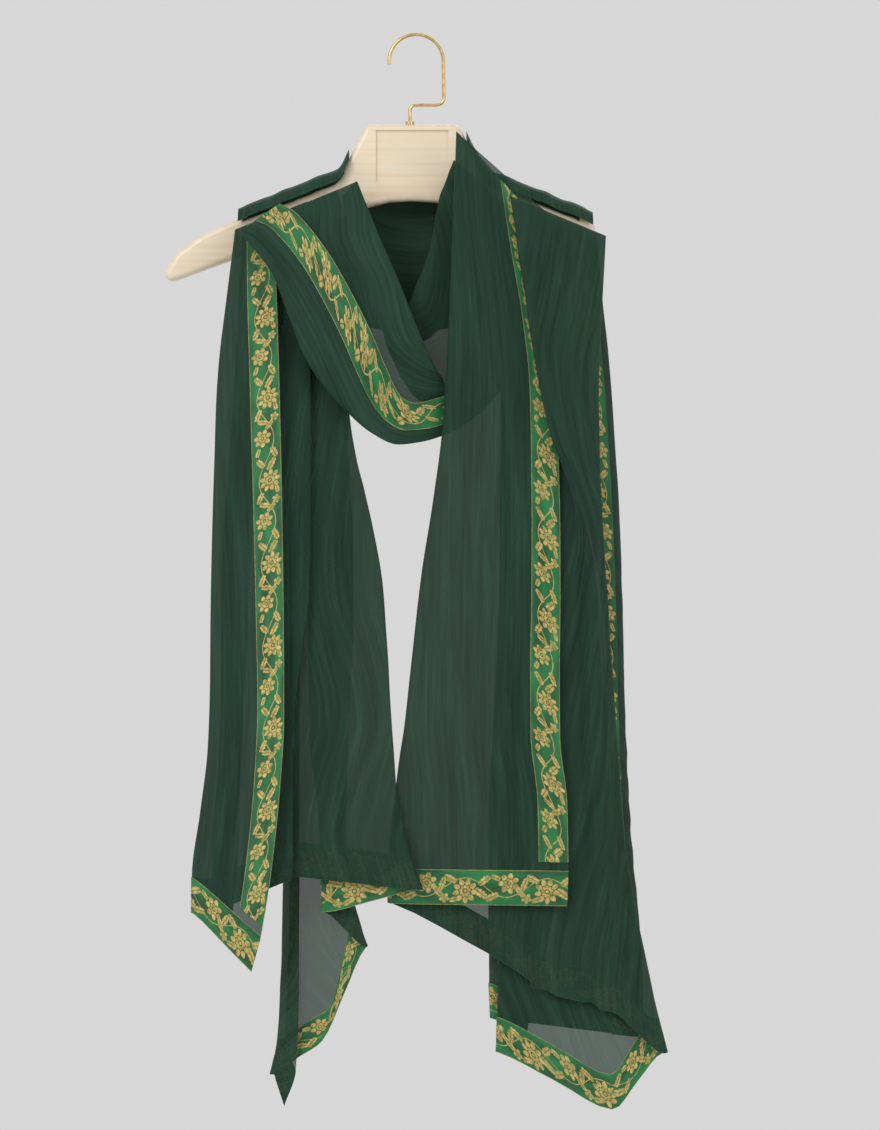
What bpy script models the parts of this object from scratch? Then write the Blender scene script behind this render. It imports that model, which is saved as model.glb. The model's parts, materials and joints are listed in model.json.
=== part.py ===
"""A chiffon dupatta stole, wound once round a wooden hanger, with both ends hanging in front.

Metres, +Z up, +X to the right of someone who faces it, -Y towards them. The origin is under the crown of the
hook, where a rail carries it. The tables are in millimetres, with x from the middle of the hanger.
"""

import math

import bmesh
import bpy
import numpy as np
from mathutils import Matrix

MM = 0.001

# Driving sizes, in millimetres
WALL = 1.0  # cloth, thicker than real chiffon
SEAM = 0.3  # between pieces that meet
EDGE_BAND = 26.0  # brocade along the long edges
HEM_BAND = 31.0  # brocade along the two ends
BAND_MOST = 0.85  # of the way to the next fold, for a band on a narrow one
HANGER_DEPTH = 22.0
ARM_ROUND = HANGER_DEPTH / 2  # the cloth rounds the top of an arm on this radius
WIRE = 3.0
LOOP = 24.0  # radius of the hook's loop, at the middle of its wire
LOOP_X = 3.5  # the loop's middle, and so the origin, is this far right of the hanger's

# The hanger's top edge from its middle outwards: distance from the middle, height
TOP_EDGE = ((0, -79), (41, -79), (64, -126), (154, -162), (187, -177), (209, -193), (219, -210))

# How far the cloth behind the neck turns round an arm, from its front, at each end
TURNS = (25.0, 60.0, 90.0, 120.0, 150.0)

# Heights at which the tails' tables give each fold, after the front of the arm
LEVELS = (-330.0, -480.0, -600.0, -700.0)
NEAR_HEM = 0.8  # share of the last drop, for the point before the hem
ROWS_DOWN = 10
UNLAP_FROM, UNLAP_TO = -400.0, -440.0  # where a lap that is folded only at the top opens out

# A row for each fold across a tail, from its free front edge to its hidden one.
# x: in front of the arm, at each level, near the hem, at the hem. hem: height of the hem.
# out: distance from the arm's face in front of it, at -330, at -480, at the hem.
# gap: how far a fold stands open, below 0 where it turns to the front, 0 for a soft bend or a free edge.
# lap: 1 for a fold that is open below UNLAP_TO.
TAIL_LEFT = (
    ((-121, -115, -112, -111, -118, -132, -139), -821, (29, 62, 68, 92), 0, 0),
    ((-154, -169, -173, -174, -184, -190, -189), -771, (27, 59, 65, 88), 4, 0),
    ((-132, -136, -143, -149, -153, -156, -158), -773, (24, 54, 60, 80), 4, 0),
    ((-147, -155, -164, -165, -171, -173, -174), -771, (21, 49, 55, 74), 4, 0),
    ((-94, -90, -91, -104, -106, -106, -106), -743, (18, 43, 49, 67), 4, 0),
    ((-125, -128, -131, -131, -132, -132, -132), -737, (15, 37, 43, 60), 4, 0),
    ((-68, -58, -28, -20, -11, 6, 8), -752, (12, 31, 37, 54), 4, 0),
    ((-88, -89, -89, -89, -79, -77, -77), -772, (9, 25, 31, 47), 4, 0),
    ((-70, -60, -53, -56, -59, -48, -40), -803, (6, 19, 25, 40), 4, 0),
    ((-86, -84, -80, -80, -74, -71, -79), -886, (4, 15, 20, 35), 0, 0),
    ((-103, -108, -109, -109, -109, -113, -121), -915, (5, 12, 17, 33), -8, 0),
    ((-98, -99, -99, -99, -99, -99, -112), -942, (10, 19, 25, 42), 0, 0),
)
TAIL_RIGHT = (
    ((95, 127, 130, 129, 137, 137, 136), -767, (41, 46, 49, 42), 0, 0),
    ((41, 31, 11, -3, -15, -18, -18), -765, (38, 44, 46, 37), 6, 0),
    ((117, 141, 140, 142, 146, 150, 153), -852, (43, 48, 42, 31), -7, 1),
    ((88, 116, 158, 160, 163, 168, 171), -860, (52, 59, 53, 32), -4, 1),
    ((166, 160, 167, 175, 182, 211, 221), -897, (43, 45, 36, 27), 8, 0),
    ((130, 130, 135, 148, 161, 173, 176), -947, (35, 35, 31, 22), 0, 0),
    ((91, 86, 86, 83, 79, 77, 76), -897, (29, 29, 28, 19), 4, 0),
    ((108, 104, 104, 103, 102, 102, 100), -880, (25, 25, 23, 14), 4, 0),
    ((84, 80, 79, 74, 69, 70, 71), -868, (21, 21, 18, 9), 4, 0),
    ((160, 175, 183, 186, 191, 202, 202), -885, (15, 16, 11, 4), -4, 0),
    ((134, 148, 156, 159, 164, 175, 176), -882, (20, 21, 17, 11), 0, 0),
)
# The cowl, a row for each fold from its upper free edge to its hidden one: points from the front of the right
# arm, round the bottom and up to the left arm, each x, height, out from the arm; then gap as above, and 1
# for a fold that lies open as far as COWL_OPEN.
COWL = (
    (((122, -162, 13), (95, -226, 12), (60, -292, 19), (32, -318, 35), (3, -326, 42), (-10, -320, 46),
      (-36, -264, 56), (-72, -197, 54), (-104, -158, 48), (-116, -152, 44)), 0, 0),
    (((128, -170, 10), (112, -245, 10), (69, -323, 16), (29, -352, 31), (-11, -361, 40), (-55, -334, 52),
      (-92, -285, 66), (-120, -214, 60), (-144, -182, 48), (-148, -174, 43)), 4, 0),
    (((98, -152, 7), (86, -191, 8), (73, -253, 11), (51, -301, 20), (34, -316, 27), (24, -304, 31),
      (7, -270, 36), (-12, -222, 41), (-33, -174, 36), (-50, -132, 28)), 4, 1),
    (((82, -148, 6), (73, -191, 7), (60, -261, 9), (38, -318, 13), (11, -323, 17), (-11, -297, 22),
      (-30, -244, 26), (-46, -188, 25), (-57, -155, 22), (-60, -142, 20)), 4, 1),
    (((38, -112, 8), (24, -150, 10), (17, -188, 12), (3, -225, 13), (-10, -254, 14), (-20, -250, 17),
      (-30, -218, 18), (-40, -182, 17), (-50, -150, 15), (-54, -138, 14)), 3, 0),
    (((66, -140, 4), (54, -180, 5), (42, -226, 6), (22, -262, 8), (-2, -275, 9), (-22, -268, 10),
      (-40, -228, 10), (-50, -190, 10), (-56, -160, 9), (-58, -146, 8)), 0, 0),
)
COWL_STEP = 0.5  # rows for each step between those points
COWL_OPEN, COWL_SHUT = 2.0, 4.0  # points along the way

# Behind the neck, inner turn then outer. ends: x over the left arm at the lower and upper edge, then over the
# right arm. out: from the arm's face. back: distance behind the arms at the middle. low, top: heights there.
WRAP_INNER = {"ends": (-150, -60, 148, 68), "out": 4.2, "back": 20, "low": -262, "top": -142, "wave": 3}
WRAP_OUTER = {"ends": (-154, -56, 160, 48), "out": 9.6, "back": 34, "low": -250, "top": -118, "wave": 4}
WRAP_COLUMNS, WRAP_ROWS = 12, 9


def top_at(x):
    """Height of the hanger's top edge at x."""
    across, height = zip(*TOP_EDGE)
    return np.interp(abs(x), across, height)


def smooth(knots, values, at):
    """A curve through values at rising knots that never overshoots them, read at other places."""
    knots, values = np.asarray(knots, float), np.asarray(values, float)
    step = np.diff(knots)
    slope = np.diff(values) / step
    tangent = np.zeros_like(values)
    tangent[0], tangent[-1] = slope[0], slope[-1]
    same = slope[:-1] * slope[1:] > 0
    mean = 2 * slope[:-1] * slope[1:] / np.where(same, slope[:-1] + slope[1:], 1)
    tangent[1:-1] = np.where(same, mean, 0)
    i = np.clip(np.searchsorted(knots, at) - 1, 0, len(step) - 1)
    t = (np.asarray(at) - knots[i]) / step[i]
    h = step[i]
    return ((1 + 2 * t) * (1 - t) ** 2 * values[i] + t * (1 - t) ** 2 * h * tangent[i]
            + t * t * (3 - 2 * t) * values[i + 1] + t * t * (t - 1) * h * tangent[i + 1])


def over_arm(x, out, turn):
    """A point of cloth that rounds an arm, out from its face, at a turn from its front."""
    turn = math.radians(turn)
    reach = ARM_ROUND + out
    return (x, -reach * math.cos(turn), top_at(x) - ARM_ROUND + reach * math.sin(turn))


def tail_rows(fold):
    """One fold of a tail, from the front of the arm to the hem, and how far it is open at each row."""
    x, hem, out, gap, lap = fold
    front = top_at(x[0]) - ARM_ROUND
    near = LEVELS[-1] + (hem - LEVELS[-1]) * NEAR_HEM
    last = 1 - HEM_BAND / (front - hem)
    shares = np.append(np.arange(ROWS_DOWN) / ROWS_DOWN * last, (last, 1.0))
    down = -front + shares * (front - hem)
    across = smooth(-np.array([front, *LEVELS, near, hem]), x, down)
    depth = smooth((-front, -LEVELS[0], -LEVELS[1], -hem), out, down)
    opened = lap * np.clip((-down - UNLAP_FROM) / (UNLAP_TO - UNLAP_FROM), 0, 1)
    return np.stack([across, -ARM_ROUND - depth, -down], 1), opened, gap


def section_points(rails, gaps, unfolded, outward, across):
    """A grid of points, a row for each row of the rails: each fold is rounded by three points."""
    rows = rails.shape[1]
    columns = []
    last = len(gaps) - 1
    for i, gap in enumerate(gaps):
        if gap == 0:
            columns.append([rails[i]])
            continue
        half = abs(gap) / 2
        side = rails[i] * 2 - rails[i - 1] - rails[i + 1]
        side -= outward * np.sum(side * outward, 1, keepdims=True)
        side /= np.maximum(np.linalg.norm(side, axis=1, keepdims=True), 1e-6)
        flat = unfolded[i][:, None]
        lean = across * flat - outward * (1 - flat) * math.copysign(1, gap)
        lean /= np.linalg.norm(lean, axis=1, keepdims=True)
        crown = rails[i] + side * half * (1 - flat)
        columns.append([rails[i] - lean * half, crown, rails[i] + lean * half])
    grid = []
    for i, column in enumerate(columns):
        grid += column
        if i == last:
            break
        start, end = column[-1], columns[i + 1][0]
        length = np.maximum(np.linalg.norm(end - start, axis=1, keepdims=True), 1e-6)
        share = np.full((rows, 1), 0.5)
        if i == 0:
            share = np.minimum(EDGE_BAND / length, BAND_MOST)
        if i == last - 1:
            share = 1 - np.minimum(EDGE_BAND / length, BAND_MOST)
        grid.append(start + (end - start) * share)
    return np.array(grid).transpose(1, 0, 2)


def tail(table):
    rows = [tail_rows(fold) for fold in table]
    rails = np.array([points for points, _, _ in rows])
    count = rails.shape[1]
    outward = np.tile((0.0, -1.0, 0.0), (count, 1))
    across = np.tile((1.0, 0.0, 0.0), (count, 1))
    return section_points(rails, [row[2] for row in rows], [row[1] for row in rows], outward, across)


def cowl():
    rails = []
    for way, *_ in COWL:
        points = np.array([(x, -ARM_ROUND - out, z) for x, z, out in way], float)
        knots = np.arange(len(points))
        at = np.arange(0, len(points) - 1 + COWL_STEP / 2, COWL_STEP)
        rails.append(np.stack([smooth(knots, points[:, k], at) for k in range(3)], 1))
    rails = np.array(rails)
    count = rails.shape[1]
    outward = np.tile((0.0, -1.0, 0.0), (count, 1))
    across = np.tile((-1.0, 0.0, 0.0), (count, 1))
    shut = np.clip((at - COWL_OPEN) / (COWL_SHUT - COWL_OPEN), 0, 1)
    opened = [lap * (1 - shut) for *_, lap in COWL]
    return section_points(rails, [row[1] for row in COWL], opened, outward, across)


def wrap(ends, out, back, low, top, wave):
    """The cloth behind the neck: over the front of the left arm, round the back and over the right arm."""
    share = np.linspace(0, 1, WRAP_COLUMNS)
    left, right = ends[0] + (ends[1] - ends[0]) * share, ends[2] + (ends[3] - ends[2]) * share
    grid = [[over_arm(x, out, turn) for x in left] for turn in TURNS]
    start = np.array(grid[-1])
    end = np.array([over_arm(x, out, TURNS[-1]) for x in right])
    ripple = wave * np.sin(share * 3 * math.pi)
    for t in np.linspace(0, 1, WRAP_ROWS)[1:-1]:
        row = start * (1 - t) + end * t
        middle = np.stack([row[:, 0], back + ripple, low + (top - low) * share], 1)
        sag = (4 * t * (1 - t)) ** 0.8
        grid.append(row * (1 - sag) + middle * sag)
    grid += [[over_arm(x, out, turn) for x in right] for turn in reversed(TURNS)]
    return np.array(grid, float)


def normals(grid, face):
    """Unit normals of a grid of points. face is 1 or -1, for the side that the brocade is sewn on."""
    n = np.cross(np.gradient(grid, axis=1), np.gradient(grid, axis=0))
    return face * n / np.maximum(np.linalg.norm(n, axis=2, keepdims=True), 1e-9)


def slab(name, middle, n, material, thick=WALL):
    """A closed wall round a grid of points, half its thickness to each side."""
    rows, columns = middle.shape[:2]
    bm = bmesh.new()
    sides = []
    for offset in (thick / 2, -thick / 2):
        points = (middle + n * offset) * MM
        sides.append([[bm.verts.new(p) for p in row] for row in points])
    for side, flip in zip(sides, (False, True)):
        for r in range(rows - 1):
            for c in range(columns - 1):
                ring = [side[r][c], side[r][c + 1], side[r + 1][c + 1], side[r + 1][c]]
                bm.faces.new(ring[::-1] if flip else ring)
    rim = [(0, c) for c in range(columns)] + [(r, columns - 1) for r in range(1, rows)]
    rim += [(rows - 1, c) for c in range(columns - 2, -1, -1)] + [(r, 0) for r in range(rows - 2, 0, -1)]
    for (r, c), (s, d) in zip(rim, rim[1:] + rim[:1]):
        bm.faces.new([sides[0][r][c], sides[1][r][c], sides[1][s][d], sides[0][s][d]])
    bmesh.ops.triangulate(bm, faces=bm.faces)
    bmesh.ops.recalc_face_normals(bm, faces=bm.faces)
    return keep(name, bm, material)


def keep(name, bm, material):
    mesh = bpy.data.meshes.new(name)
    bm.to_mesh(mesh)
    bm.free()
    mesh.shade_smooth()
    mesh.set_sharp_from_angle(angle=math.radians(40))
    mesh.materials.append(material)
    ob = bpy.data.objects.new(name, mesh)
    parts.objects.link(ob)
    return ob


def plain(name, colour, rough, metal=0.0):
    material = bpy.data.materials.new(name)
    material.use_nodes = True
    shader = material.node_tree.nodes["Principled BSDF"]
    shader.inputs["Base Color"].default_value = (*colour, 1)
    shader.inputs["Roughness"].default_value = rough
    shader.inputs["Metallic"].default_value = metal
    return material


def band(name, grid, n, columns):
    """A strip of brocade on part of a panel: the panel's own points, moved out."""
    out = WALL + SEAM
    slab(name, grid[:, columns] + n[:, columns] * out, n[:, columns], brocade)


def hanger_outline():
    """The front view of the wooden body, anticlockwise from the left end's top."""
    left = [(-x, z) for x, z in reversed(TOP_EDGE[1:])]
    right = [(x, z) for x, z in TOP_EDGE[1:4]]
    end = [(161, -167), (164, -180), (160, -196), (150, -195)]
    under = [(70, -163), (40, -152), (20, -147), (0, -146), (-20, -147), (-40, -152), (-70, -163), (-155, -197)]
    return left + right + end + under + [(-205, -215), (-216, -218)]


def hanger(material):
    outline = hanger_outline()
    bm = bmesh.new()
    verts = [bm.verts.new((x * MM, -HANGER_DEPTH / 2 * MM, z * MM)) for x, z in outline]
    face = bm.faces.new(verts)
    out = bmesh.ops.extrude_face_region(bm, geom=[face])
    moved = [v for v in out["geom"] if isinstance(v, bmesh.types.BMVert)]
    bmesh.ops.translate(bm, verts=moved, vec=(0, HANGER_DEPTH * MM, 0))
    bmesh.ops.recalc_face_normals(bm, faces=bm.faces)
    ob = keep("hanger_body", bm, material)
    bevel = ob.modifiers.new("rounded edges", "BEVEL")
    bevel.width = 5 * MM
    bevel.segments = 2
    bevel.limit_method = "ANGLE"
    bevel.angle_limit = math.radians(60)
    bpy.ops.mesh.primitive_cube_add(size=1, location=(0, -HANGER_DEPTH / 2 * MM, -107 * MM))
    cutter = bpy.context.object
    cutter.name = "panel_cutter"
    cutter.scale = (64 * MM, 4 * MM, 46 * MM)
    cutter.hide_render = True
    cutter.display_type = "WIRE"
    bpy.context.collection.objects.unlink(cutter)
    cutters.objects.link(cutter)
    cut = ob.modifiers.new("sunk panel", "BOOLEAN")
    cut.object = cutter
    cut.operation = "DIFFERENCE"
    return ob


def wire(name, points, radius, material):
    curve = bpy.data.curves.new(name, "CURVE")
    curve.dimensions = "3D"
    curve.bevel_depth = radius * MM
    curve.bevel_resolution = 2
    curve.use_fill_caps = True
    spline = curve.splines.new("POLY")
    spline.points.add(len(points) - 1)
    for point, (x, z) in zip(spline.points, points):
        point.co = (x * MM, 0, z * MM, 1)
    curve.materials.append(material)
    ob = bpy.data.objects.new(name, curve)
    parts.objects.link(ob)
    return ob


def arc(x, z, radius, start, end, count):
    turns = [math.radians(start + (end - start) * i / (count - 1)) for i in range(count)]
    return [(x + radius * math.cos(t), z + radius * math.sin(t)) for t in turns]


def hook_path():
    top = WIRE / 2 - LOOP
    path = [(-2, TOP_EDGE[0][1] + 3 + 2 * SEAM)] + arc(3, -66, 5, 180, 90, 5)
    path += arc(22, -55, 6, -90, 0, 5) + arc(LOOP_X, top, LOOP, 0, 186, 25)
    return path


for ob in list(bpy.data.objects):
    bpy.data.objects.remove(ob)
parts = bpy.data.collections.new("dupatta_stole_on_hanger")
cutters = bpy.data.collections.new("cutters")
bpy.context.scene.collection.children.link(parts)
bpy.context.scene.collection.children.link(cutters)
chiffon = plain("bottle green chiffon", (0.012, 0.055, 0.03), 0.8)
brocade = plain("green and gold brocade", (0.05, 0.16, 0.03), 0.5)
wood = plain("pale ash wood", (0.8, 0.67, 0.48), 0.5)
gold = plain("gold plated wire", (0.75, 0.55, 0.25), 0.25, 1.0)

hanger(wood)
wire("hook", hook_path(), WIRE / 2, gold)
collar_base = TOP_EDGE[0][1] + SEAM
wire("collar", [(-2, collar_base), (-2, collar_base + 3)], 4, gold)

stretches = (
    ("tail_left", tail(TAIL_LEFT), 1),
    ("wrap_inner", wrap(**WRAP_INNER), -1),
    ("cowl", cowl(), -1),
    ("wrap_outer", wrap(**WRAP_OUTER), -1),
    ("tail_right", tail(TAIL_RIGHT), 1),
)
for name, grid, face in stretches:
    n = normals(grid, face)
    slab(name, grid, n, chiffon)
    if name.startswith("tail"):
        every = slice(None)
        band(name + "_hem_border", grid[-2:], n[-2:], every)
        above = grid[:-1].copy()
        step = above[-2] - above[-1]
        above[-1] += step / np.linalg.norm(step, axis=1, keepdims=True) * (SEAM + WALL)
        band(name + "_edge_border", above, n[:-1], slice(0, 2))
        band(name + "_far_border", above, n[:-1], slice(-2, None))
    if name in ("cowl", "wrap_outer"):
        band(name + "_border", grid, n, slice(0, 2))
to_origin = Matrix.Translation((-LOOP_X * MM, 0, 0))
for ob in parts.objects:
    ob.data.transform(to_origin)
for ob in cutters.objects:
    ob.location = to_origin @ ob.location
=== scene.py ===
"""The look of a dupatta stole on its hanger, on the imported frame.

The tables are in millimetres and are the same as in the part's source.
"""

import json
import math

import bmesh
import bpy
import numpy as np
from mathutils import Matrix, Vector

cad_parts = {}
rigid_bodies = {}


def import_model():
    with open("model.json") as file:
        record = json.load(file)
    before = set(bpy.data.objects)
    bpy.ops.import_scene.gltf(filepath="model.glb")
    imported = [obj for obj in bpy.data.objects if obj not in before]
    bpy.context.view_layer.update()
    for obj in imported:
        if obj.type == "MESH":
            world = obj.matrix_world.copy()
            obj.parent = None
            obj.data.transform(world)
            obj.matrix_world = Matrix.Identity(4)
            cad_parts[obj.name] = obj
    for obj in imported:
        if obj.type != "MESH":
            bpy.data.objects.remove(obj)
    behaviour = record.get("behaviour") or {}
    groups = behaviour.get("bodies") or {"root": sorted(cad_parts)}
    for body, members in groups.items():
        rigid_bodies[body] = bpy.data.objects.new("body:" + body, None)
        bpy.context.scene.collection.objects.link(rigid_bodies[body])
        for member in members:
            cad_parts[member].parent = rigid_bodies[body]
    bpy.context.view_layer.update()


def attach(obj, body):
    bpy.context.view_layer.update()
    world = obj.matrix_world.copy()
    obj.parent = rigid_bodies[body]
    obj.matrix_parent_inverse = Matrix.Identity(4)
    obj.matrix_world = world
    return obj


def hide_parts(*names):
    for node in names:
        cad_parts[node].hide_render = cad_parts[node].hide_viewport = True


for ob in list(bpy.data.objects):
    bpy.data.objects.remove(ob)
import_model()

MM = 0.001

# Driving sizes, in millimetres
WALL = 1.0  # cloth, thicker than real chiffon
SEAM = 0.3  # between pieces that meet
EDGE_BAND = 26.0  # brocade along the long edges
HEM_BAND = 31.0  # brocade along the two ends
BAND_MOST = 0.85  # of the way to the next fold, for a band on a narrow one
HANGER_DEPTH = 22.0
ARM_ROUND = HANGER_DEPTH / 2  # the cloth rounds the top of an arm on this radius
WIRE = 3.0
LOOP = 24.0  # radius of the hook's loop, at the middle of its wire
LOOP_X = 3.5  # the loop's middle, and so the origin, is this far right of the hanger's

# The hanger's top edge from its middle outwards: distance from the middle, height
TOP_EDGE = ((0, -79), (41, -79), (64, -126), (154, -162), (187, -177), (209, -193), (219, -210))

# How far the cloth behind the neck turns round an arm, from its front, at each end
TURNS = (25.0, 60.0, 90.0, 120.0, 150.0)

# Heights at which the tails' tables give each fold, after the front of the arm
LEVELS = (-330.0, -480.0, -600.0, -700.0)
NEAR_HEM = 0.8  # share of the last drop, for the point before the hem
ROWS_DOWN = 10
UNLAP_FROM, UNLAP_TO = -400.0, -440.0  # where a lap that is folded only at the top opens out

# A row for each fold across a tail, from its free front edge to its hidden one.
# x: in front of the arm, at each level, near the hem, at the hem. hem: height of the hem.
# out: distance from the arm's face in front of it, at -330, at -480, at the hem.
# gap: how far a fold stands open, below 0 where it turns to the front, 0 for a soft bend or a free edge.
# lap: 1 for a fold that is open below UNLAP_TO.
TAIL_LEFT = (
    ((-121, -115, -112, -111, -118, -132, -139), -821, (29, 62, 68, 92), 0, 0),
    ((-154, -169, -173, -174, -184, -190, -189), -771, (27, 59, 65, 88), 4, 0),
    ((-132, -136, -143, -149, -153, -156, -158), -773, (24, 54, 60, 80), 4, 0),
    ((-147, -155, -164, -165, -171, -173, -174), -771, (21, 49, 55, 74), 4, 0),
    ((-94, -90, -91, -104, -106, -106, -106), -743, (18, 43, 49, 67), 4, 0),
    ((-125, -128, -131, -131, -132, -132, -132), -737, (15, 37, 43, 60), 4, 0),
    ((-68, -58, -28, -20, -11, 6, 8), -752, (12, 31, 37, 54), 4, 0),
    ((-88, -89, -89, -89, -79, -77, -77), -772, (9, 25, 31, 47), 4, 0),
    ((-70, -60, -53, -56, -59, -48, -40), -803, (6, 19, 25, 40), 4, 0),
    ((-86, -84, -80, -80, -74, -71, -79), -886, (4, 15, 20, 35), 0, 0),
    ((-103, -108, -109, -109, -109, -113, -121), -915, (5, 12, 17, 33), -8, 0),
    ((-98, -99, -99, -99, -99, -99, -112), -942, (10, 19, 25, 42), 0, 0),
)
TAIL_RIGHT = (
    ((95, 127, 130, 129, 137, 137, 136), -767, (41, 46, 49, 42), 0, 0),
    ((41, 31, 11, -3, -15, -18, -18), -765, (38, 44, 46, 37), 6, 0),
    ((117, 141, 140, 142, 146, 150, 153), -852, (43, 48, 42, 31), -7, 1),
    ((88, 116, 158, 160, 163, 168, 171), -860, (52, 59, 53, 32), -4, 1),
    ((166, 160, 167, 175, 182, 211, 221), -897, (43, 45, 36, 27), 8, 0),
    ((130, 130, 135, 148, 161, 173, 176), -947, (35, 35, 31, 22), 0, 0),
    ((91, 86, 86, 83, 79, 77, 76), -897, (29, 29, 28, 19), 4, 0),
    ((108, 104, 104, 103, 102, 102, 100), -880, (25, 25, 23, 14), 4, 0),
    ((84, 80, 79, 74, 69, 70, 71), -868, (21, 21, 18, 9), 4, 0),
    ((160, 175, 183, 186, 191, 202, 202), -885, (15, 16, 11, 4), -4, 0),
    ((134, 148, 156, 159, 164, 175, 176), -882, (20, 21, 17, 11), 0, 0),
)
# The cowl, a row for each fold from its upper free edge to its hidden one: points from the front of the right
# arm, round the bottom and up to the left arm, each x, height, out from the arm; then gap as above, and 1
# for a fold that lies open as far as COWL_OPEN.
COWL = (
    (((122, -162, 13), (95, -226, 12), (60, -292, 19), (32, -318, 35), (3, -326, 42), (-10, -320, 46),
      (-36, -264, 56), (-72, -197, 54), (-104, -158, 48), (-116, -152, 44)), 0, 0),
    (((128, -170, 10), (112, -245, 10), (69, -323, 16), (29, -352, 31), (-11, -361, 40), (-55, -334, 52),
      (-92, -285, 66), (-120, -214, 60), (-144, -182, 48), (-148, -174, 43)), 4, 0),
    (((98, -152, 7), (86, -191, 8), (73, -253, 11), (51, -301, 20), (34, -316, 27), (24, -304, 31),
      (7, -270, 36), (-12, -222, 41), (-33, -174, 36), (-50, -132, 28)), 4, 1),
    (((82, -148, 6), (73, -191, 7), (60, -261, 9), (38, -318, 13), (11, -323, 17), (-11, -297, 22),
      (-30, -244, 26), (-46, -188, 25), (-57, -155, 22), (-60, -142, 20)), 4, 1),
    (((38, -112, 8), (24, -150, 10), (17, -188, 12), (3, -225, 13), (-10, -254, 14), (-20, -250, 17),
      (-30, -218, 18), (-40, -182, 17), (-50, -150, 15), (-54, -138, 14)), 3, 0),
    (((66, -140, 4), (54, -180, 5), (42, -226, 6), (22, -262, 8), (-2, -275, 9), (-22, -268, 10),
      (-40, -228, 10), (-50, -190, 10), (-56, -160, 9), (-58, -146, 8)), 0, 0),
)
COWL_STEP = 0.5  # rows for each step between those points
COWL_OPEN, COWL_SHUT = 2.0, 4.0  # points along the way

# Behind the neck, inner turn then outer. ends: x over the left arm at the lower and upper edge, then over the
# right arm. out: from the arm's face. back: distance behind the arms at the middle. low, top: heights there.
WRAP_INNER = {"ends": (-150, -60, 148, 68), "out": 4.2, "back": 20, "low": -262, "top": -142, "wave": 3}
WRAP_OUTER = {"ends": (-154, -56, 160, 48), "out": 9.6, "back": 34, "low": -250, "top": -118, "wave": 4}
WRAP_COLUMNS, WRAP_ROWS = 12, 9
ORIGIN = (-LOOP_X * MM, 0.0, 0.0)  # from the tables' x to the row's


def top_at(x):
    """Height of the hanger's top edge at x."""
    across, height = zip(*TOP_EDGE)
    return np.interp(abs(x), across, height)


def smooth(knots, values, at):
    """A curve through values at rising knots that never overshoots them, read at other places."""
    knots, values = np.asarray(knots, float), np.asarray(values, float)
    step = np.diff(knots)
    slope = np.diff(values) / step
    tangent = np.zeros_like(values)
    tangent[0], tangent[-1] = slope[0], slope[-1]
    same = slope[:-1] * slope[1:] > 0
    mean = 2 * slope[:-1] * slope[1:] / np.where(same, slope[:-1] + slope[1:], 1)
    tangent[1:-1] = np.where(same, mean, 0)
    i = np.clip(np.searchsorted(knots, at) - 1, 0, len(step) - 1)
    t = (np.asarray(at) - knots[i]) / step[i]
    h = step[i]
    return ((1 + 2 * t) * (1 - t) ** 2 * values[i] + t * (1 - t) ** 2 * h * tangent[i]
            + t * t * (3 - 2 * t) * values[i + 1] + t * t * (t - 1) * h * tangent[i + 1])


def over_arm(x, out, turn):
    """A point of cloth that rounds an arm, out from its face, at a turn from its front."""
    turn = math.radians(turn)
    reach = ARM_ROUND + out
    return (x, -reach * math.cos(turn), top_at(x) - ARM_ROUND + reach * math.sin(turn))


def tail_rows(fold):
    """One fold of a tail, from the front of the arm to the hem, and how far it is open at each row."""
    x, hem, out, gap, lap = fold
    front = top_at(x[0]) - ARM_ROUND
    near = LEVELS[-1] + (hem - LEVELS[-1]) * NEAR_HEM
    last = 1 - HEM_BAND / (front - hem)
    shares = np.append(np.arange(ROWS_DOWN) / ROWS_DOWN * last, (last, 1.0))
    down = -front + shares * (front - hem)
    across = smooth(-np.array([front, *LEVELS, near, hem]), x, down)
    depth = smooth((-front, -LEVELS[0], -LEVELS[1], -hem), out, down)
    opened = lap * np.clip((-down - UNLAP_FROM) / (UNLAP_TO - UNLAP_FROM), 0, 1)
    return np.stack([across, -ARM_ROUND - depth, -down], 1), opened, gap


def section_points(rails, gaps, unfolded, outward, across):
    """A grid of points, a row for each row of the rails: each fold is rounded by three points."""
    rows = rails.shape[1]
    columns = []
    last = len(gaps) - 1
    for i, gap in enumerate(gaps):
        if gap == 0:
            columns.append([rails[i]])
            continue
        half = abs(gap) / 2
        side = rails[i] * 2 - rails[i - 1] - rails[i + 1]
        side -= outward * np.sum(side * outward, 1, keepdims=True)
        side /= np.maximum(np.linalg.norm(side, axis=1, keepdims=True), 1e-6)
        flat = unfolded[i][:, None]
        lean = across * flat - outward * (1 - flat) * math.copysign(1, gap)
        lean /= np.linalg.norm(lean, axis=1, keepdims=True)
        crown = rails[i] + side * half * (1 - flat)
        columns.append([rails[i] - lean * half, crown, rails[i] + lean * half])
    grid = []
    for i, column in enumerate(columns):
        grid += column
        if i == last:
            break
        start, end = column[-1], columns[i + 1][0]
        length = np.maximum(np.linalg.norm(end - start, axis=1, keepdims=True), 1e-6)
        share = np.full((rows, 1), 0.5)
        if i == 0:
            share = np.minimum(EDGE_BAND / length, BAND_MOST)
        if i == last - 1:
            share = 1 - np.minimum(EDGE_BAND / length, BAND_MOST)
        grid.append(start + (end - start) * share)
    return np.array(grid).transpose(1, 0, 2)


def tail(table):
    rows = [tail_rows(fold) for fold in table]
    rails = np.array([points for points, _, _ in rows])
    count = rails.shape[1]
    outward = np.tile((0.0, -1.0, 0.0), (count, 1))
    across = np.tile((1.0, 0.0, 0.0), (count, 1))
    return section_points(rails, [row[2] for row in rows], [row[1] for row in rows], outward, across)


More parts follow.
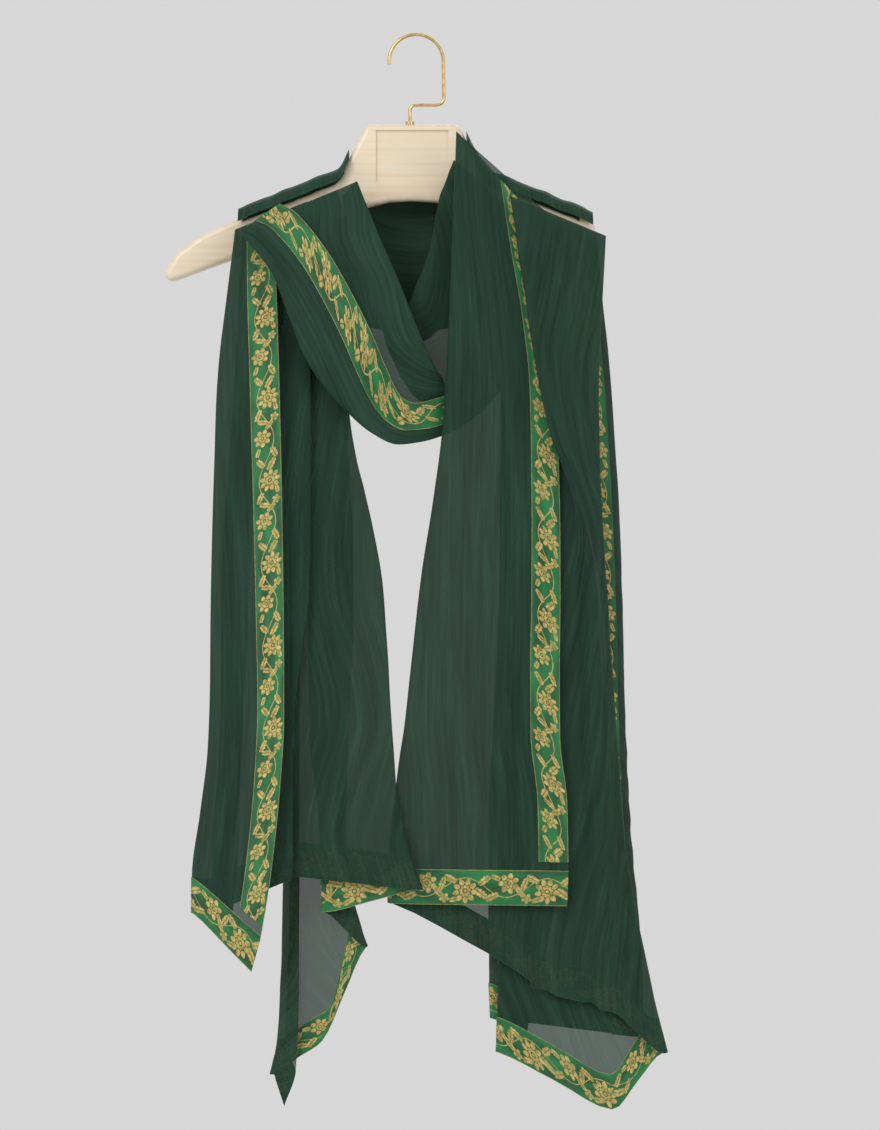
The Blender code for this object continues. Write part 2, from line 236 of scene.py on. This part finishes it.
def cowl():
    rails = []
    for way, *_ in COWL:
        points = np.array([(x, -ARM_ROUND - out, z) for x, z, out in way], float)
        knots = np.arange(len(points))
        at = np.arange(0, len(points) - 1 + COWL_STEP / 2, COWL_STEP)
        rails.append(np.stack([smooth(knots, points[:, k], at) for k in range(3)], 1))
    rails = np.array(rails)
    count = rails.shape[1]
    outward = np.tile((0.0, -1.0, 0.0), (count, 1))
    across = np.tile((-1.0, 0.0, 0.0), (count, 1))
    shut = np.clip((at - COWL_OPEN) / (COWL_SHUT - COWL_OPEN), 0, 1)
    opened = [lap * (1 - shut) for *_, lap in COWL]
    return section_points(rails, [row[1] for row in COWL], opened, outward, across)


def wrap(ends, out, back, low, top, wave):
    """The cloth behind the neck: over the front of the left arm, round the back and over the right arm."""
    share = np.linspace(0, 1, WRAP_COLUMNS)
    left, right = ends[0] + (ends[1] - ends[0]) * share, ends[2] + (ends[3] - ends[2]) * share
    grid = [[over_arm(x, out, turn) for x in left] for turn in TURNS]
    start = np.array(grid[-1])
    end = np.array([over_arm(x, out, TURNS[-1]) for x in right])
    ripple = wave * np.sin(share * 3 * math.pi)
    for t in np.linspace(0, 1, WRAP_ROWS)[1:-1]:
        row = start * (1 - t) + end * t
        middle = np.stack([row[:, 0], back + ripple, low + (top - low) * share], 1)
        sag = (4 * t * (1 - t)) ** 0.8
        grid.append(row * (1 - sag) + middle * sag)
    grid += [[over_arm(x, out, turn) for x in right] for turn in reversed(TURNS)]
    return np.array(grid, float)


def normals(grid, face):
    """Unit normals of a grid of points. face is 1 or -1, for the side that the brocade is sewn on."""
    n = np.cross(np.gradient(grid, axis=1), np.gradient(grid, axis=0))
    return face * n / np.maximum(np.linalg.norm(n, axis=2, keepdims=True), 1e-9)


def keep(name, bm, material):
    mesh = bpy.data.meshes.new(name)
    bm.to_mesh(mesh)
    bm.free()
    mesh.shade_smooth()
    mesh.set_sharp_from_angle(angle=math.radians(40))
    mesh.materials.append(material)
    ob = bpy.data.objects.new(name, mesh)
    parts.objects.link(ob)
    return ob


def hanger_outline():
    """The front view of the wooden body, anticlockwise from the left end's top."""
    left = [(-x, z) for x, z in reversed(TOP_EDGE[1:])]
    right = [(x, z) for x, z in TOP_EDGE[1:4]]
    end = [(161, -167), (164, -180), (160, -196), (150, -195)]
    under = [(70, -163), (40, -152), (20, -147), (0, -146), (-20, -147), (-40, -152), (-70, -163), (-155, -197)]
    return left + right + end + under + [(-205, -215), (-216, -218)]


def hanger(material):
    outline = hanger_outline()
    bm = bmesh.new()
    verts = [bm.verts.new((x * MM, -HANGER_DEPTH / 2 * MM, z * MM)) for x, z in outline]
    face = bm.faces.new(verts)
    out = bmesh.ops.extrude_face_region(bm, geom=[face])
    moved = [v for v in out["geom"] if isinstance(v, bmesh.types.BMVert)]
    bmesh.ops.translate(bm, verts=moved, vec=(0, HANGER_DEPTH * MM, 0))
    bmesh.ops.recalc_face_normals(bm, faces=bm.faces)
    ob = keep("hanger_body", bm, material)
    bevel = ob.modifiers.new("rounded edges", "BEVEL")
    bevel.width = 5 * MM
    bevel.segments = 6
    bevel.limit_method = "ANGLE"
    bevel.angle_limit = math.radians(60)
    bpy.ops.mesh.primitive_cube_add(size=1, location=(0, -HANGER_DEPTH / 2 * MM, -107 * MM))
    cutter = bpy.context.object
    cutter.name = "panel_cutter"
    cutter.scale = (64 * MM, 4 * MM, 46 * MM)
    cutter.hide_render = True
    cutter.display_type = "WIRE"
    bpy.context.collection.objects.unlink(cutter)
    cutters.objects.link(cutter)
    cut = ob.modifiers.new("sunk panel", "BOOLEAN")
    cut.object = cutter
    cut.operation = "DIFFERENCE"
    return ob


def wire(name, points, radius, material):
    curve = bpy.data.curves.new(name, "CURVE")
    curve.dimensions = "3D"
    curve.bevel_depth = radius * MM
    curve.bevel_resolution = 8
    curve.use_fill_caps = True
    spline = curve.splines.new("POLY")
    spline.points.add(len(points) - 1)
    for point, (x, z) in zip(spline.points, points):
        point.co = (x * MM, 0, z * MM, 1)
    curve.materials.append(material)
    ob = bpy.data.objects.new(name, curve)
    parts.objects.link(ob)
    return ob


def arc(x, z, radius, start, end, count):
    turns = [math.radians(start + (end - start) * i / (count - 1)) for i in range(count)]
    return [(x + radius * math.cos(t), z + radius * math.sin(t)) for t in turns]


def hook_path():
    top = WIRE / 2 - LOOP
    path = [(-2, TOP_EDGE[0][1] + 3 + 2 * SEAM)] + arc(3, -66, 5, 180, 90, 5)
    path += arc(22, -55, 6, -90, 0, 5) + arc(LOOP_X, top, LOOP, 0, 186, 25)
    return path


# ---------------------------------------------------------------- finer surfaces

FINE_ACROSS, FINE_DOWN = 4, 8  # cells for each cell of the tables' grids
BORDER_LIFT = 0.65  # mm, brocade above the chiffon that it is sewn on


def curve_through(points, cells):
    """Points along a smooth curve through the given ones, cells between each two."""
    length = np.linalg.norm(np.diff(points, axis=0), axis=1)
    knots = np.concatenate([[0], np.cumsum(np.maximum(length, 1e-3))])
    share = np.arange(cells) / cells
    at = np.append((knots[:-1, None] + np.diff(knots)[:, None] * share).ravel(), knots[-1])
    return np.stack([smooth(knots, points[:, k], at) for k in range(3)], 1)


def finer(grid, down=FINE_DOWN, across=FINE_ACROSS):
    """The same surface with more points, and each point's way across and down the cloth in millimetres."""
    grid = np.array([curve_through(row, across) for row in grid])
    grid = np.array([curve_through(column, down) for column in grid.transpose(1, 0, 2)]).transpose(1, 0, 2)
    u = np.zeros(grid.shape[:2])
    v = np.zeros(grid.shape[:2])
    u[:, 1:] = np.cumsum(np.linalg.norm(np.diff(grid, axis=1), axis=2), axis=1)
    v[1:] = np.cumsum(np.linalg.norm(np.diff(grid, axis=0), axis=2), axis=0)
    return grid, u, v


def wrinkle(u, v, seed, size):
    """Uneven lengthwise crinkles, in millimetres, from a few sums of waves that wander along the cloth."""
    rng = np.random.default_rng(seed)
    total = np.zeros_like(u)
    for _ in range(14):
        length = rng.uniform(9, 34)
        wander = rng.uniform(2, 7) * np.sin(v / rng.uniform(60, 190) + rng.uniform(0, 6.28))
        here = 0.5 + 0.5 * np.sin(v / rng.uniform(45, 150) + u / rng.uniform(50, 130) + rng.uniform(0, 6.28))
        total += np.sin((u + wander) / length * 6.283 + rng.uniform(0, 6.28)) * here ** 2 * length / 20
    return total / np.abs(total).max() * size


def cloth_sheet(name, points, u, v, material):
    """An open sheet of quads with a UV map in millimetres."""
    rows, columns = points.shape[:2]
    index = np.arange(rows * columns).reshape(rows, columns)
    quads = np.stack([index[:-1, :-1], index[1:, :-1], index[1:, 1:], index[:-1, 1:]], 2).reshape(-1, 4)
    mesh = bpy.data.meshes.new(name)
    mesh.from_pydata((points.reshape(-1, 3) * MM + ORIGIN).tolist(), [], quads.tolist())
    uv = mesh.uv_layers.new(name="cloth_mm")
    flat = np.stack([u.ravel(), v.ravel()], 1)[quads.ravel()]
    uv.data.foreach_set("uv", flat.astype(np.float32).ravel())
    mesh.shade_smooth()
    mesh.materials.append(material)
    ob = bpy.data.objects.new(name, mesh)
    bpy.context.scene.collection.objects.link(ob)
    return ob


def mesh_of(ob, name):
    """The object with its modifiers or curve turned into one mesh."""
    bpy.context.view_layer.update()
    mesh = bpy.data.meshes.new_from_object(ob.evaluated_get(bpy.context.evaluated_depsgraph_get()))
    new = bpy.data.objects.new(name + "_look", mesh)
    bpy.data.objects.remove(ob)
    mesh.transform(Matrix.Translation(ORIGIN))
    mesh.shade_smooth()
    mesh.set_sharp_from_angle(angle=math.radians(40))
    bpy.context.scene.collection.objects.link(new)
    return new


# ---------------------------------------------------------------- materials


def linear(colour):
    """A colour given as sRGB hex, in the linear values that shaders take."""
    parts_of_one = [int(colour[i:i + 2], 16) / 255 for i in (1, 3, 5)]
    return tuple(c / 12.92 if c <= 0.04045 else ((c + 0.055) / 1.055) ** 2.4 for c in parts_of_one)


class Nodes:
    """A material's node tree."""

    def __init__(self, name):
        self.material = bpy.data.materials.new(name)
        self.material.use_nodes = True
        self.tree = self.material.node_tree
        self.shader = self.tree.nodes["Principled BSDF"]

    def put(self, socket, value):
        if isinstance(value, bpy.types.NodeSocket):
            self.tree.links.new(value, socket)
        elif isinstance(value, str):
            socket.default_value = (*linear(value), 1)
        else:
            socket.default_value = value

    def add(self, kind, *values, output=0, settings=(), stops=(), **inputs):
        """Adds a node with its settings and links, and gives one of its outputs.

        kind is a shader node's type, or in capitals the operation of a Math node. values go in by their order,
        inputs by identifier, and stops are the places and colours of a colour ramp.
        """
        node = self.tree.nodes.new("ShaderNodeMath" if kind.isupper() else "ShaderNode" + kind)
        for key, value in [("operation", kind)] * kind.isupper() + list(settings):
            setattr(node, key, value)
        if stops:
            elements = node.color_ramp.elements
            while len(elements) < len(stops):
                elements.new(0.5)
            for element, (place, colour) in zip(elements, stops):
                element.position = place
                element.color = (*linear(colour), 1)
        by_name = {socket.identifier: socket for socket in node.inputs}
        for socket, value in list(zip(node.inputs, values)) + [(by_name[key], v) for key, v in inputs.items()]:
            self.put(socket, value)
        return {0: node.outputs[0], **{socket.identifier: socket for socket in node.outputs}}[output]

    def below(self, a, edge, soft):
        """1 where a is under edge, falling to 0 over soft."""
        return self.add("MapRange", a, self.add("SUBTRACT", edge, soft), edge, 1.0, 0.0, settings=[("clamp", True)])

    def most(self, *values):
        top = values[0]
        for value in values[1:]:
            top = self.add("MAXIMUM", top, value)
        return top

    def place(self, scale, source="UV"):
        """Coordinates times a scale: millimetres of cloth from the UV map, or metres of the object."""
        return self.add("Mapping", Vector=self.add("TexCoord", output=source), Scale=scale)

    def finish(self, **values):
        for key, value in values.items():
            self.put(self.shader.inputs[key.replace("_", " ")], value)
        return self.material


def chiffon_material(name, alpha):
    """Polyester crinkle chiffon, dyed bottle green: matte, sheer, with lengthwise crinkles in colour and bump."""
    n = Nodes(name)
    fine = n.add("TexNoise", Vector=n.place((0.30, 0.012, 1.0)), Scale=1.0, Detail=3.0, Roughness=0.6)
    broad = n.add("TexNoise", Vector=n.place((0.055, 0.005, 1.0)), Scale=1.0, Detail=2.0, Roughness=0.5)
    weave = n.add("TexNoise", Vector=n.place((1.6, 1.6, 1.0)), Scale=1.0, Detail=1.0, Roughness=0.5)
    streak = n.add("ADD", n.add("MULTIPLY", fine, 0.55), n.add("MULTIPLY", broad, 0.45))
    colour = n.add("ValToRGB", streak, stops=((0.36, CHIFFON_DARK), (0.5, CHIFFON), (0.66, CHIFFON_LIGHT)))
    height = n.add("ADD", n.add("MULTIPLY", fine, 0.8), n.add("MULTIPLY", weave, 0.12))
    bump = n.add("Bump", Height=height, Strength=0.55, Distance=0.0012)
    return n.finish(Normal=bump, Base_Color=colour, Alpha=alpha, Roughness=0.72, Sheen_Weight=0.12,
                    Sheen_Roughness=0.45, Sheen_Tint="#bce7ce", Specular_IOR_Level=0.25)


def brocade_material(name, width):
    """Green satin with woven gold: a wandering vine with a flower and leaves at each repeat, and edge lines.

    The pattern is worked out from the UV map in millimetres: x across the band, y along it.
    """
    n = Nodes(name)
    uv = n.add("TexCoord", output="UV")
    middle = width / 2
    x = n.add("SUBTRACT", n.add("SeparateXYZ", uv, output="X"), middle)
    along = n.add("SeparateXYZ", uv, output="Y")
    repeat, soft = REPEAT, 0.25

    def place(offset, side):
        """Distances from a motif's centre: offset along the repeat, and side across the band."""
        part = n.add("DIVIDE", n.add("ADD", along, repeat * (0.5 - offset)), repeat)
        y = n.add("MULTIPLY", n.add("SUBTRACT", n.add("FRACT", part), 0.5), repeat)
        return n.add("SUBTRACT", x, side), y

    def flower(offset, side, petals, size, tilt):
        """Two rings of petals with dark lines between them, round a small eye."""
        dx, dy = place(offset, side)
        r = n.add("SQRT", n.add("ADD", n.add("MULTIPLY", dx, dx), n.add("MULTIPLY", dy, dy)))
        angle = n.add("ADD", n.add("ARCTAN2", dy, dx), tilt)
        turn = n.add("ABSOLUTE", n.add("COSINE", n.add("MULTIPLY", angle, petals / 2)))
        other = n.add("ABSOLUTE", n.add("SINE", n.add("MULTIPLY", angle, petals / 2)))
        outer = n.below(r, n.add("MULTIPLY", n.add("ADD", 0.62, n.add("MULTIPLY", turn, 0.38)), size), soft)
        gap = n.add("MULTIPLY", n.below(turn, 0.20, 0.12), n.add("SUBTRACT", 1.0, n.below(r, size * 0.5, soft)))
        outside = n.add("MULTIPLY", n.add("ADD", 0.42, n.add("MULTIPLY", other, 0.16)), size)
        inside = n.add("MULTIPLY", n.add("ADD", 0.34, n.add("MULTIPLY", other, 0.15)), size)
        line = n.add("SUBTRACT", n.below(r, outside, soft), n.below(r, inside, soft))
        eye = n.add("SUBTRACT", n.below(r, size * 0.22, soft), n.below(r, size * 0.13, soft))
        return n.add("MAXIMUM", n.add("SUBTRACT", n.add("SUBTRACT", n.add("SUBTRACT", outer, gap), line), eye), 0.0)

    def leaf(offset, side, tilt, long, wide):
        dx, dy = place(offset, side)
        c, s = math.cos(math.radians(tilt)), math.sin(math.radians(tilt))
        p = n.add("ADD", n.add("MULTIPLY", dx, c / wide), n.add("MULTIPLY", dy, s / wide))
        q = n.add("ADD", n.add("MULTIPLY", dx, -s / long), n.add("MULTIPLY", dy, c / long))
        r = n.add("ADD", n.add("MULTIPLY", p, p), n.add("MULTIPLY", q, q))
        teeth = n.add("MULTIPLY", n.add("ABSOLUTE", n.add("SINE", n.add("MULTIPLY", q, 7.5))), 0.42)
        vein = n.below(n.add("ABSOLUTE", p), 0.16, 0.08)
        blade = n.below(r, n.add("ADD", 0.62, teeth), 0.12)
        return n.add("MAXIMUM", n.add("SUBTRACT", blade, n.add("MULTIPLY", vein, 0.8)), 0.0)

    wave = n.add("MULTIPLY", n.add("SINE", n.add("MULTIPLY", along, 6.2832 / repeat)), width * 0.27)
    vine = n.below(n.add("ABSOLUTE", n.add("SUBTRACT", x, wave)), 0.5, soft)
    motifs = [flower(*row) for row in (
        # place along the repeat, across the band, petals, size, tilt
        (0.25, -width * 0.10, 9, width * 0.36, 0.3),
        (0.72, width * 0.12, 7, width * 0.30, 1.1),
        (0.50, -width * 0.30, 5, width * 0.15, 0.6))]
    motifs += [leaf(*row) for row in (
        # place along the repeat, across the band, tilt, length, width
        (0.02, width * 0.20, 38, width * 0.24, width * 0.10),
        (0.06, -width * 0.16, -35, width * 0.26, width * 0.11),
        (0.43, width * 0.24, -25, width * 0.24, width * 0.10),
        (0.53, width * 0.10, 70, width * 0.22, width * 0.09),
        (0.92, -width * 0.26, 25, width * 0.25, width * 0.10),
        (0.58, -width * 0.12, 130, width * 0.20, width * 0.09),
        (0.88, width * 0.28, 160, width * 0.17, width * 0.08),
        (0.38, -width * 0.34, 15, width * 0.17, width * 0.08))]
    edge = n.add("SUBTRACT", middle, n.add("ABSOLUTE", x))
    hem = n.add("MULTIPLY", n.below(edge, 0.7, 0.3), 0.55)
    mask = n.add("MINIMUM", n.most(vine, hem, *motifs), 1.0)
    thread = n.add("TexWave", Vector=n.place((1.0, 1.0, 1.0)), Scale=0.8, output="Fac",
                   settings=[("wave_type", "BANDS"), ("bands_direction", "Y")])
    worn = n.add("TexNoise", Vector=n.place((0.25, 0.25, 1.0)), Scale=1.0, Detail=3.0, Roughness=0.5)
    woven = n.add("MULTIPLY", mask, n.add("ADD", 0.74, n.add("MULTIPLY", worn, 0.42)))
    woven = n.add("MINIMUM", woven, 1.0)
    patchy = n.add("TexNoise", Vector=n.place((0.08, 0.02, 1.0)), Scale=1.0, Detail=2.0, Roughness=0.5)
    green = n.add("ValToRGB", patchy, stops=((0.35, BAND_DARK), (0.65, BAND_LIGHT)))
    gold = n.add("ValToRGB", worn, stops=((0.3, GOLD_DARK), (0.7, GOLD_LIGHT)))
    colour = n.add("Mix", Factor_Float=woven, A_Color=green, B_Color=gold, output="Result_Color",
                   settings=[("data_type", "RGBA")])
    height = n.add("ADD", n.add("MULTIPLY", mask, 0.7), n.add("MULTIPLY", thread, 0.25))
    return n.finish(Normal=n.add("Bump", Height=height, Strength=0.6, Distance=0.0004), Base_Color=colour,
                    Metallic=n.add("MULTIPLY", woven, 0.55), Roughness=n.add("ADD", 0.36, n.add("MULTIPLY", worn, 0.18)),
                    Sheen_Weight=0.15, Sheen_Roughness=0.35, Sheen_Tint="#cbf9da")


def wood_material():
    """Pale ash, sanded and lacquered: faint grain along the arms under a satin coat."""
    n = Nodes("pale lacquered wood")
    long = n.add("TexNoise", Vector=n.place((2.2, 30.0, 75.0), "Object"), Scale=2.0, Detail=4.0, Roughness=0.6)
    ring = n.add("TexWave", Vector=n.place((1.5, 12.0, 34.0), "Object"), Scale=1.3, Distortion=5.0, Detail=3.0,
                 output="Fac", settings=[("wave_type", "BANDS"), ("bands_direction", "Z")])
    grain = n.add("ADD", n.add("MULTIPLY", long, 0.9), n.add("MULTIPLY", ring, 0.1))
    colour = n.add("ValToRGB", grain, stops=((0.3, WOOD_DARK), (0.5, WOOD), (0.75, WOOD_LIGHT)))
    return n.finish(Normal=n.add("Bump", Height=grain, Strength=0.12, Distance=0.0006), Base_Color=colour,
                    Roughness=0.38, Coat_Weight=0.25, Coat_Roughness=0.2)


def gold_material():
    """Gold plated steel wire, polished and a little worn."""
    n = Nodes("gold plated wire")
    worn = n.add("TexNoise", Vector=n.place((60.0, 60.0, 60.0), "Object"), Scale=4.0, Detail=3.0, Roughness=0.5)
    colour = n.add("ValToRGB", worn, stops=((0.35, WIRE_DARK), (0.6, WIRE_LIGHT)))
    return n.finish(Normal=n.add("Bump", Height=worn, Strength=0.08, Distance=0.0002), Base_Color=colour,
                    Metallic=1.0, Roughness=n.add("ADD", 0.16, n.add("MULTIPLY", worn, 0.16)))


# Colours as sRGB hex
CHIFFON_DARK, CHIFFON, CHIFFON_LIGHT = "#122f21", "#1c3d2d", "#284a3a"
BAND_DARK, BAND_LIGHT = "#074d24", "#168042"
GOLD_DARK, GOLD_LIGHT = "#9e8945", "#e5c87e"
WOOD_DARK, WOOD, WOOD_LIGHT = "#e5cbaa", "#efddc0", "#f3e6ce"
WIRE_DARK, WIRE_LIGHT = "#cead73", "#e5c58b"
# How much of what lies behind one layer each stretch hides: more where gathers stand for several layers
ALPHA = {"tail_left": 0.87, "tail_right": 0.86, "cowl": 0.95, "wrap_inner": 0.96, "wrap_outer": 0.94}
REPEAT = 72.0  # mm, of the brocade's pattern

brocade_edge = brocade_material("satin edge brocade woven with gold thread", EDGE_BAND)
brocade_hem = brocade_material("satin hem brocade woven with gold thread", HEM_BAND)
wood = wood_material()
gold = gold_material()
parts = bpy.data.collections.new("looks")
cutters = bpy.data.collections.new("cutters")
bpy.context.scene.collection.children.link(parts)
bpy.context.scene.collection.children.link(cutters)


# ---------------------------------------------------------------- pieces


def hold(ob, node):
    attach(ob, "root")
    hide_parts(node)
    return ob


def strip(name, points, n, u, v, material):
    """A border on part of a sheet, lifted off it, with u across the band from its outer edge."""
    ob = cloth_sheet(name + "_look", points + n * BORDER_LIFT, u, v, material)
    return hold(ob, name)


stretches = (
    ("tail_left", tail(TAIL_LEFT), 1, 1),
    ("wrap_inner", wrap(**WRAP_INNER), -1, 2),
    ("cowl", cowl(), -1, 3),
    ("wrap_outer", wrap(**WRAP_OUTER), -1, 4),
    ("tail_right", tail(TAIL_RIGHT), 1, 5),
)
for name, coarse, face, seed in stretches:
    grid, u, v = finer(coarse)
    n = normals(grid, face)
    grid = grid + n * wrinkle(u, v, seed, 0.7)[:, :, None]
    n = normals(grid, face)
    chiffon = chiffon_material("crinkle chiffon of " + name, ALPHA[name])
    panel = hold(cloth_sheet(name + "_look", grid, u, v, chiffon), name)
    edge = FINE_ACROSS
    near = u[:, :edge + 1]
    far = u[:, -1:] - u[:, -edge - 1:]
    if name.startswith("tail"):
        above = grid.shape[0] - FINE_DOWN
        rows = slice(above - 1, None)
        hem_u = v[-1:] - v[rows]
        hem_u = hem_u / np.maximum(hem_u[:1], 1e-6) * HEM_BAND
        strip(name + "_hem_border", grid[rows], n[rows], hem_u, u[rows], brocade_hem)
        long = slice(0, above - 1)
        strip(name + "_edge_border", grid[long, :edge + 1], n[long, :edge + 1],
                           near[long], v[long, :edge + 1], brocade_edge)
        strip(name + "_far_border", grid[long, -edge - 1:], n[long, -edge - 1:],
                           far[long], v[long, -edge - 1:], brocade_edge)
    elif name in ("cowl", "wrap_outer"):
        strip(name + "_border", grid[:, :edge + 1], n[:, :edge + 1], near, v[:, :edge + 1],
                           brocade_edge)
    long = float(v[-1].mean()) * MM

hold(mesh_of(hanger(wood), "hanger_body"), "hanger_body")
hold(mesh_of(wire("hook", hook_path(), WIRE / 2, gold), "hook"), "hook")
collar_base = TOP_EDGE[0][1] + SEAM
collar = wire("collar", [(-2, collar_base), (-2, collar_base + 3)], 4, gold)
hold(mesh_of(collar, "collar"), "collar")
for ob in list(cutters.objects):
    bpy.data.objects.remove(ob)

# ---------------------------------------------------------------- light and camera

PIXEL = 0.88 * MM  # of the photo, at the hanger
FRAME_HIGH = 1130 * PIXEL
CAMERA_FAR = 5.0
LOOK = Vector((0.0246, 0, -0.4682)) + Vector(ORIGIN)

scene = bpy.context.scene
camera = bpy.data.objects.new("camera", bpy.data.cameras.new("camera"))
camera.location = LOOK + Vector((0, -CAMERA_FAR, 0))
camera.rotation_euler = (math.radians(90), 0, 0)
camera.data.sensor_fit = "VERTICAL"
camera.data.angle = 2 * math.atan(FRAME_HIGH / 2 / (CAMERA_FAR - 0.03))
scene.collection.objects.link(camera)
scene.camera = camera

world = bpy.data.worlds.new("studio")
scene.world = world
world.use_nodes = True
sky = world.node_tree.nodes["Background"]
sky.inputs["Color"].default_value = (0.68, 0.68, 0.68, 1)
sky.inputs["Strength"].default_value = 1.0


def lamp(name, place, size, power, target=LOOK):
    light = bpy.data.lights.new(name, "AREA")
    light.shape = "RECTANGLE"
    light.size, light.size_y = size
    light.energy = power
    ob = bpy.data.objects.new(name, light)
    ob.location = place
    ob.rotation_euler = (Vector(target) - Vector(place)).to_track_quat("-Z", "Y").to_euler()
    scene.collection.objects.link(ob)


lamp("key", (-1.6, -2.6, 1.3), (1.2, 1.6), 34)
lamp("fill", (2.0, -2.4, 0.2), (1.6, 1.8), 12)
lamp("back", (0.3, 2.2, 1.2), (1.6, 1.2), 10)

scene.view_settings.view_transform = "Standard"
scene.render.film_transparent = False
if hasattr(scene, "cycles"):
    scene.cycles.transparent_max_bounces = 32
